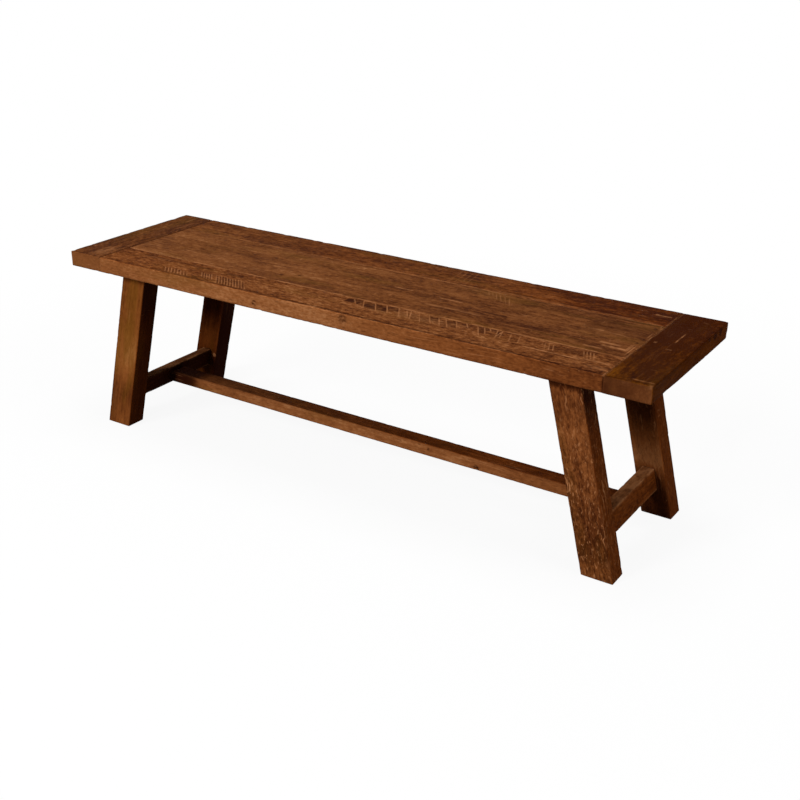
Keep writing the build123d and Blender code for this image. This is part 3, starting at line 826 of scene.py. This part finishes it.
def seat_plank(name, seed, wood_look, seams, paints, cracks):
    """A seat plank: waves and saw marks on top, rubbed seams and outer edges."""
    node = "seat_board_" + name
    worn_sides = [name] if name in FLANKS else []
    plank = Piece(node, seed)
    sizes = plank.sizes
    plank.cut_grid([ENDS, FLANKS, LEVELS], [sizes.spacing, 0.007, 0.02])
    for crack in cracks:
        half_width = crack[4]
        rows = millimetres(*(row * half_width for row in CRACK_ROWS))
        plank.cut_along(crack[:4], rows, half_width * 0.001 + CRACK_REACH, CRACK_MARGIN)
    for mark in SAW_MARKS[node]:
        plank.cut_along(mark[:4], (-SAW_HALF_WIDTH, 0, SAW_HALF_WIDTH), SAW_REACH)
    plank.read_points()
    plank.undulate(["top", "under", *worn_sides], sizes.waves, (4, 16, 16))
    for side, mark, strength in [*seams, *PLANK_ENDS]:
        wear, chips = sizes.edge_wear * 0.9, sizes.chips * 0.4
        plank.wear_edge("top", side, wear, chips, mark, strength, SEAM_REACH[mark])
    for side in worn_sides:
        plank.wear_edge("top", side, sizes.edge_wear, sizes.chips, strength=0)
        plank.wear_edge("under", side, sizes.edge_wear * 2.2, sizes.chips, strength=0)
        # Painted shade under the outer edges
        plank.darken_edge("under", side, 0.4)
    if name == "back":
        # Painted shade along the back edge of the top
        plank.darken_edge("top", "back", 0.75, 0.017)
    plank.saw_marks(SAW_MARKS[node])
    for crack in cracks:
        plank.crack(*crack)
    if name == "front":
        plank.wear_edge("front", "right", 0.0008, 0, "grime", 0.9, 0.004)
        # Painted shade along the front's lower edge
        plank.darken_edge("under", "front", 0.55)
    plank.paint_all(paints)
    plank.finish(stained_wood(name + "_plank_wood", wood_look))


PLANK_ENDS = [("left", "grime", 0.9), ("right", "worn", 0.8)]
FRONT_PAINTS = [
    ("top", "tone", (-0.03, 0.04, 0.12, 0.03, -0.03), (-0.55, -0.25, 0, 0.3, 0.6)),
    ("top", "warm", (0.35, 0.2, 0.15, 0.15), (-0.5, -0.2, 0.1, 0.6)),
    ("front", "tone", (0.19, 0.33, 0.34, 0.15, 0.04, -0.09), (-0.58, -0.4, 0, 0.12, 0.35, 0.6)),
    ("front", "warm", (0.15, 0.15, 0.35, 0.4), (-0.6, 0.05, 0.3, 0.6)),
    ("front", "calm", 0.6),
]
# Each plank's seed and look, its long seams, its paints and its cracks: x and y of a crack's
# two ends, its half width, depth, wander and darkness
PLANKS = {
    "front": (
        3,
        FRONT_LOOK,
        [("back", "worn", 1)],
        FRONT_PAINTS,
        [
            (-660, -196, -85, -196, 6, 1, 1, 0.65),
            (-115, -196, 330, -196, 6, 1.3, 1, 1),
            (310, -196, 655, -201, 5.5, 1.3, 0.8, 1),
        ],
    ),
    "middle": (
        5,
        MIDDLE_LOOK,
        [("front", "worn", 1), ("back", "worn", 0.9)],
        # Darker towards the right, partly the wood's own tone and partly painted light falloff
        [("top", "tone", (0.14, 0.04, -0.06, -0.08), (-0.65, -0.2, 0.2, 0.65))],
        [],
    ),
    "back": (
        8,
        BACK_LOOK,
        [("front", "worn", 0.9)],
        [
            # Darker towards the right, partly the wood's own tone and partly painted light falloff
            ("top", "tone", (0.07, -0.02, 0.06, -0.11, -0.23), (-0.65, -0.1, 0.24, 0.4, 0.58)),
            ("top", "warm", (0.1, 0.35, 0.15, 0.6, 0.8), (-0.5, -0.12, 0.15, 0.4, 0.58)),
        ],
        [],
    ),
}


class BENCH_OT_seat_planks(bpy.types.Operator):
    """Build the three long planks of the seat"""

    bl_idname = "bench.seat_planks"
    bl_label = "Seat planks"

    def execute(self, context):
        for name, row in PLANKS.items():
            seat_plank(name, *row)
        return {"FINISHED"}


BREADBOARD_PAINTS = {
    "left": [
        ("front", "calm", 0.7),
        ("front", "tone", 0.2),
        ("top", "tone", (0, -0.06), (0, 0.08), 1),
    ],
    "right": [
        ("front", "calm", 0.7),
        ("front", "tone", (0.11, 0.11, 0.22), (0.66, 0.7, 0.75)),
        ("top", "tone", (0.02, -0.05, -0.16, -0.27, -0.27), (-0.19, -0.08, 0, 0.08, 0.2), 1),
        ("top", "warm", (0.5, 0.8), (-0.2, 0.1), 1),
        ("top", "olive", (0.9, 0.5), (-0.2, 0.2), 1),
        ("top", "calm", 0.15),
        ("right", "olive", (0.9, 0.6), (-0.2, 0.2), 1),
        ("right", "calm", 0.5),
        ("right", "tone", 0.05),
        # The dim right end face is tinted redder as painted shade
        ("right", "warm", 0.9),
    ],
}


def breadboard(side, inner, seed, wood_look, joint):
    """A cross plank with rubbed outer edges and a marked joint along its inner one."""
    board = Piece("breadboard_" + side, seed)
    sizes = board.sizes
    board.cut_grid([FLANKS, ENDS, LEVELS], [sizes.spacing, 0.008, 0.009])
    board.undulate(["top", "under", side, *FLANKS], sizes.waves, (16, 4, 16))
    board.wear_edge("top", inner, sizes.edge_wear * 0.7, sizes.chips * 0.5, *joint)
    for outer in (side, *FLANKS):
        under_wear = sizes.edge_wear * (3.5 if outer == "right" else 1)
        board.wear_edge("top", outer, sizes.edge_wear, sizes.chips, strength=0)
        board.wear_edge("under", outer, under_wear, sizes.chips * 0.6, strength=0)
        # Painted shade along the outer edges, under them and on the top
        board.darken_edge("under", outer, 0.5)
        board.darken_edge("top", outer, 0.2 if outer == "front" else 0.6, 0.012)
    for flank in FLANKS:
        board.wear_edge(side, flank, sizes.edge_wear * 1.5, sizes.chips)
    board.paint_all(BREADBOARD_PAINTS[side])
    if side == "right":
        board.wear_edge("front", "left", 0.0006, 0, "grime", 0.7, 0.004)
        board.chip((750, -205, 450), 16, 2.6, (-1, 1, -1))
        board.chip((700, -205, 450), 13, 3, (0, 1, -1))
    board.finish(stained_wood(side + "_breadboard_wood", wood_look))


class BENCH_OT_breadboards(bpy.types.Operator):
    """Build the two cross planks that close the seat's ends"""

    bl_idname = "bench.breadboards"
    bl_label = "Breadboards"

    def execute(self, context):
        breadboard("left", "right", 13, LEFT_LOOK, ("grime", 0.8, 0.006))
        joint = ("worn", 0.9, SEAM_REACH["worn"])
        breadboard("right", "left", 17, RIGHT_LOOK, joint)
        return {"FINISHED"}


LEG_HEIGHTS = (0.02, 0.05, 0.09, 0.13, 0.16, 0.2, 0.25, 0.3, 0.36, 0.39, 0.405)
SIDE_HEIGHTS = (0.13, 0.25, 0.38)
# Each leg's look and what sets it apart, the tones of its front at LEG_HEIGHTS, those of its
# right side at SIDE_HEIGHTS, the redness of its front, and its other paints. The tones are partly
# painted light and shade: darker at the tops of the fronts under the seat, over the upper back
# legs in the seat's shadow, low on the back legs where the rails and front legs shade them and low
# on the front legs, lighter on the back-right leg just above its rail, and darker on the right,
# inner sides of the left legs, which the back-left leg's grime and shade deepens.
LEGS = {
    "front_left": (
        SMOOTH_LOOK,
        {},
        (0, -0.1, -0.23, -0.05, 0.1, 0.2, 0.17, 0.07, 0.05, 0.05, -0.3),
        (-0.22, -0.3, -0.6),
        0.4,
        [("front", "olive", (0.15, 0.3), (0.1, 0.35), 2)],
    ),
    "front_right": (
        HEWN_LOOK,
        {"flakes": [(670, -180, 100, 320, 0.6)]},
        (0.05, -0.3, -0.28, -0.25, -0.2, -0.15, -0.03, 0.15, -0.03, 0.05, -0.7),
        (0.1, -0.03, -0.2),
        0.3,
        [("right", "calm", 0.4)],
    ),
    "back_left": (
        SMOOTH_LOOK,
        {"tone": 0.4, "light_spots": [(-613, 133, 97, 7, 0.6)]},
        (-0.2, -0.4, -0.35, 0, 0, -0.25, -0.5, -0.6, -0.6, -0.6, -0.6),
        (-0.6, -0.6, -0.6),
        0.9,
        [("right", "grime", 1.3)],
    ),
    "back_right": (
        HEWN_LOOK,
        {"tone": 0.34, "scuffs": 0.4, "flakes": [(660, 130, 150, 70, 0.4)]},
        (-0.2, -0.2, -0.05, 0.75, 0.5, 0.12, -0.15, -0.1, -0.1, -0.3, -0.3),
        (0.1, 0.05, 0),
        0.5,
        [("right", "calm", 0.4), ("front", "calm", 0.6)],
    ),
}


class BENCH_OT_legs(bpy.types.Operator):
    """Build the four splayed legs"""

    bl_idname = "bench.legs"
    bl_label = "Legs"

    def execute(self, context):
        for place, (name, row) in enumerate(LEGS.items()):
            common, own, front_tone_and_shade, side_tone_and_shade, front_warmth, paints = row
            hewn = common is HEWN_LOOK
            leg = Piece("leg_" + name, 23 + place)
            sizes = leg.sizes
            leg.cut_grid([LEVELS, ENDS, FLANKS], [0.005, 0.006, 0.006])
            waves = sizes.rough_waves if hewn else sizes.waves
            leg.undulate([*ENDS, *FLANKS], waves, (14, 14, 6))
            wear = sizes.edge_wear * (2.2 if hewn else 1)
            for outer in ENDS:
                chips = sizes.chips * (0.5 if outer == "left" else 0.9 if hewn else 0.6)
                for flank in FLANKS:
                    leg.wear_edge(outer, flank, wear, chips, strength=0.1)
                    leg.darken_edge(outer, flank, 0.3, 0.01)
            if name == "front_right":
                leg.chip((690, -183, 45), 14, 2.4, (-1, 1, 0))
            leg.paint("front", "tone", front_tone_and_shade, LEG_HEIGHTS, 2)
            leg.paint("front", "warm", front_warmth)
            leg.paint("right", "tone", side_tone_and_shade, SIDE_HEIGHTS, 2)
            # The right faces are tinted redder as painted shade
            leg.paint("right", "warm", 0.95)
            leg.paint_all(paints)
            right = leg.faces["right"].normal
            grain = {
                "turn": (0, math.radians(90) + math.atan2(right.z, right.x), 0),
                "shift": (0.37 * place, 0.21 * place, 0.13 * place),
            }
            leg.finish(stained_wood(name + "_leg_wood", {**common, **grain, **own}))
        return {"FINISHED"}


def rail(
    node, seed, turn, tone, worn_levels=("under",), wear=0.3, paints=(), dark_edges=(), **changes
):
    """A sawn rail with waves on its faces, rubbed long edges and its own place in the grain."""
    calm = {"streak": 0.6, "shift": (0.11 * seed, 0.07 * seed, 0.05 * seed)}
    wood = stained_wood(node + "_wood", look(turn=turn, tone=tone, **{**calm, **changes}))
    lengthwise, crosswise = (ENDS, FLANKS) if turn == ALONG_BENCH else (FLANKS, ENDS)
    piece = Piece(node, seed)
    sizes = piece.sizes
    piece.cut_grid([lengthwise, crosswise, LEVELS], [sizes.spacing, 0.006, 0.006])
    piece.undulate([*crosswise, *worn_levels], sizes.waves, (9, 9, 16))
    for level in worn_levels:
        for side in crosswise:
            piece.wear_edge(level, side, sizes.edge_wear, sizes.chips * 0.6, strength=wear)
    piece.paint_all(paints)
    for edge in dark_edges:
        piece.darken_edge(*edge)
    piece.finish(wood)


# The long stretcher's left end is darkened by tone and grime and shade as a painted shadow, and
# its top is darker all along as painted shade under the seat
LONG_PAINTS = [
    ("front", "tone", (-1, 0.04, 0.24, 0.22, -0.04), (-0.575, -0.53, -0.18, 0.15, 0.5)),
    ("front", "warm", 0.15),
    ("front", "grime", (1.2, 0), (-0.585, -0.525)),
    ("top", "grime", (1.1, 0), (-0.585, -0.515)),
    ("top", "tone", (-1, -0.15, -0.3, -0.14, -0.25), (-0.575, -0.51, -0.19, 0.02, 0.45)),
    ("top", "warm", (0.2, 0.9), (-0.4, 0.2)),
]
# Painted shade along the long stretcher's edges
LONG_DARK_EDGES = [
    ("top", "back", 0.6, 0.008), ("under", "front", 0.5), ("top", "front", 0.3, 0.007),
]


class BENCH_OT_stretchers(bpy.types.Operator):
    """Build the low rails that tie each pair of legs, and the long one between them"""

    bl_idname = "bench.stretchers"
    bl_label = "Stretchers"

    def execute(self, context):
        for side, tone, shade, bare, grime, seed in (
            ("left", 0.3, -0.3, 0.65, 1.1, 31),
            ("right", 0.46, 0.1, 0.7, 0, 33),
        ):
            # The right faces are tinted redder as painted shade; the left stretcher's right, inner
            # face is also darkened as painted shade by its tone and by grime and shade towards the
            # back
            paints = [
                ("right", "tone", shade),
                ("right", "warm", 0.9),
                ("right", "grime", (0, grime), (-0.12, -0.02), 1),
                ("top", "worn", (0.4 * bare, bare, bare), (-0.1, -0.04, 0.12), 1),
            ]
            node = "end_stretcher_" + side
            rail(node, seed, ACROSS_BENCH, tone, LEVELS, 0.7, paints, speck=1)
        spots = [(293, -21, 76, 11, 0.95), (166, -21, 89, 5, 0.8)]
        changes = {"streak": 0.45, "speck": 0.5, "dark_spots": spots}
        extras = (LONG_PAINTS, LONG_DARK_EDGES)
        rail("long_stretcher", 41, ALONG_BENCH, 0.58, LEVELS, 0.15, *extras, **changes)
        return {"FINISHED"}


class BENCH_OT_bearers(bpy.types.Operator):
    """Build the bolted bearers and the cleat across the planks, all under the seat"""

    bl_idname = "bench.bearers"
    bl_label = "Bearers and batten"

    def execute(self, context):
        rail("leg_bearer_left", 35, ACROSS_BENCH, 0.44)
        rail("leg_bearer_right", 37, ACROSS_BENCH, 0.44)
        rail("middle_batten", 39, ACROSS_BENCH, 0.44)
        return {"FINISHED"}


def plain_wood(name):
    """Unstained hardwood of the pegs and dowels."""
    f = Finish(bpy.data.materials.new(name))
    grain = f.noise(f.place(), (500, 500, 18), 3, 0.6)
    stops = [(0.3, (0.19, 0.095, 0.04)), (0.5, (0.3, 0.17, 0.08)), (0.7, (0.4, 0.24, 0.12))]
    inputs = {
        "Base Color": f.ramp(grain, stops),
        "Roughness": f.between(grain, 0.3, 0.7, 0.55, 0.75),
        "Specular IOR Level": 0.3,
    }
    return f.surface(inputs, grain, 0.4, 0.0004)


def zinc_plate(name):
    """Zinc-plated steel with fine turning marks and a dull bloom."""
    f = Finish(bpy.data.materials.new(name))
    place = f.place()
    bloom = f.noise(place, (220, 220, 220), 3, 0.6)
    fine = f.noise(place, (1500, 1500, 6000), 2, 0.6)
    stops = [(0.3, (0.42, 0.42, 0.4)), (0.55, (0.58, 0.58, 0.56)), (0.75, (0.68, 0.67, 0.62))]
    inputs = {
        "Base Color": f.ramp(bloom, stops),
        "Metallic": 1,
        "Roughness": f.between(bloom, 0.3, 0.7, 0.3, 0.48),
    }
    return f.surface(inputs, fine, 0.25, 0.0001)


def refinish(material, *nodes):
    """Gives CAD nodes that stay in view a new material."""
    for node in nodes:
        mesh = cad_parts[node].data
        mesh.materials.clear()
        mesh.materials.append(material)


class BENCH_OT_fixings(bpy.types.Operator):
    """Finish the wooden pegs and dowels, and the bolts, inserts and screws"""

    bl_idname = "bench.fixings"
    bl_label = "Fixings"

    def execute(self, context):
        refinish(plain_wood("peg_wood"), "breadboard_pegs", "leg_dowels")
        refinish(zinc_plate("zinc_plate"), "bearer_bolts", "seat_inserts", "batten_screws")
        return {"FINISHED"}


OPERATORS = (
    BENCH_OT_stage, BENCH_OT_seat_planks, BENCH_OT_breadboards, BENCH_OT_legs,
    BENCH_OT_stretchers, BENCH_OT_bearers, BENCH_OT_fixings,
)
STEPS = tuple(operator.bl_idname for operator in OPERATORS)
GROUPS = {"bench_sizes": BenchSizes, "bench_stain": BenchStain, "bench_stage": BenchStage}


class BENCH_PT_panel(bpy.types.Panel):
    """Lists the steps that dress the bench"""

    bl_label = "Rustic Trestle Bench"
    bl_idname = "BENCH_PT_panel"
    bl_space_type = "VIEW_3D"
    bl_region_type = "UI"
    bl_category = "Bench"

    def draw(self, context):
        for step in STEPS:
            self.layout.operator(step)
        for key in GROUPS:
            group = getattr(context.scene, key)
            box = self.layout.box()
            for name in group.__annotations__:
                box.prop(group, name)


CLASSES = (*GROUPS.values(), *OPERATORS, BENCH_PT_panel)


def register():
    for entry in CLASSES:
        bpy.utils.register_class(entry)
    for key, group in GROUPS.items():
        setattr(bpy.types.Scene, key, PointerProperty(type=group))


def unregister():
    for key in GROUPS:
        delattr(bpy.types.Scene, key)
    for entry in reversed(CLASSES):
        bpy.utils.unregister_class(entry)


def main():
    register()
    for step in STEPS:
        group, name = step.split(".")
        getattr(getattr(bpy.ops, group), name)()


if __name__ == "__main__":
    main()
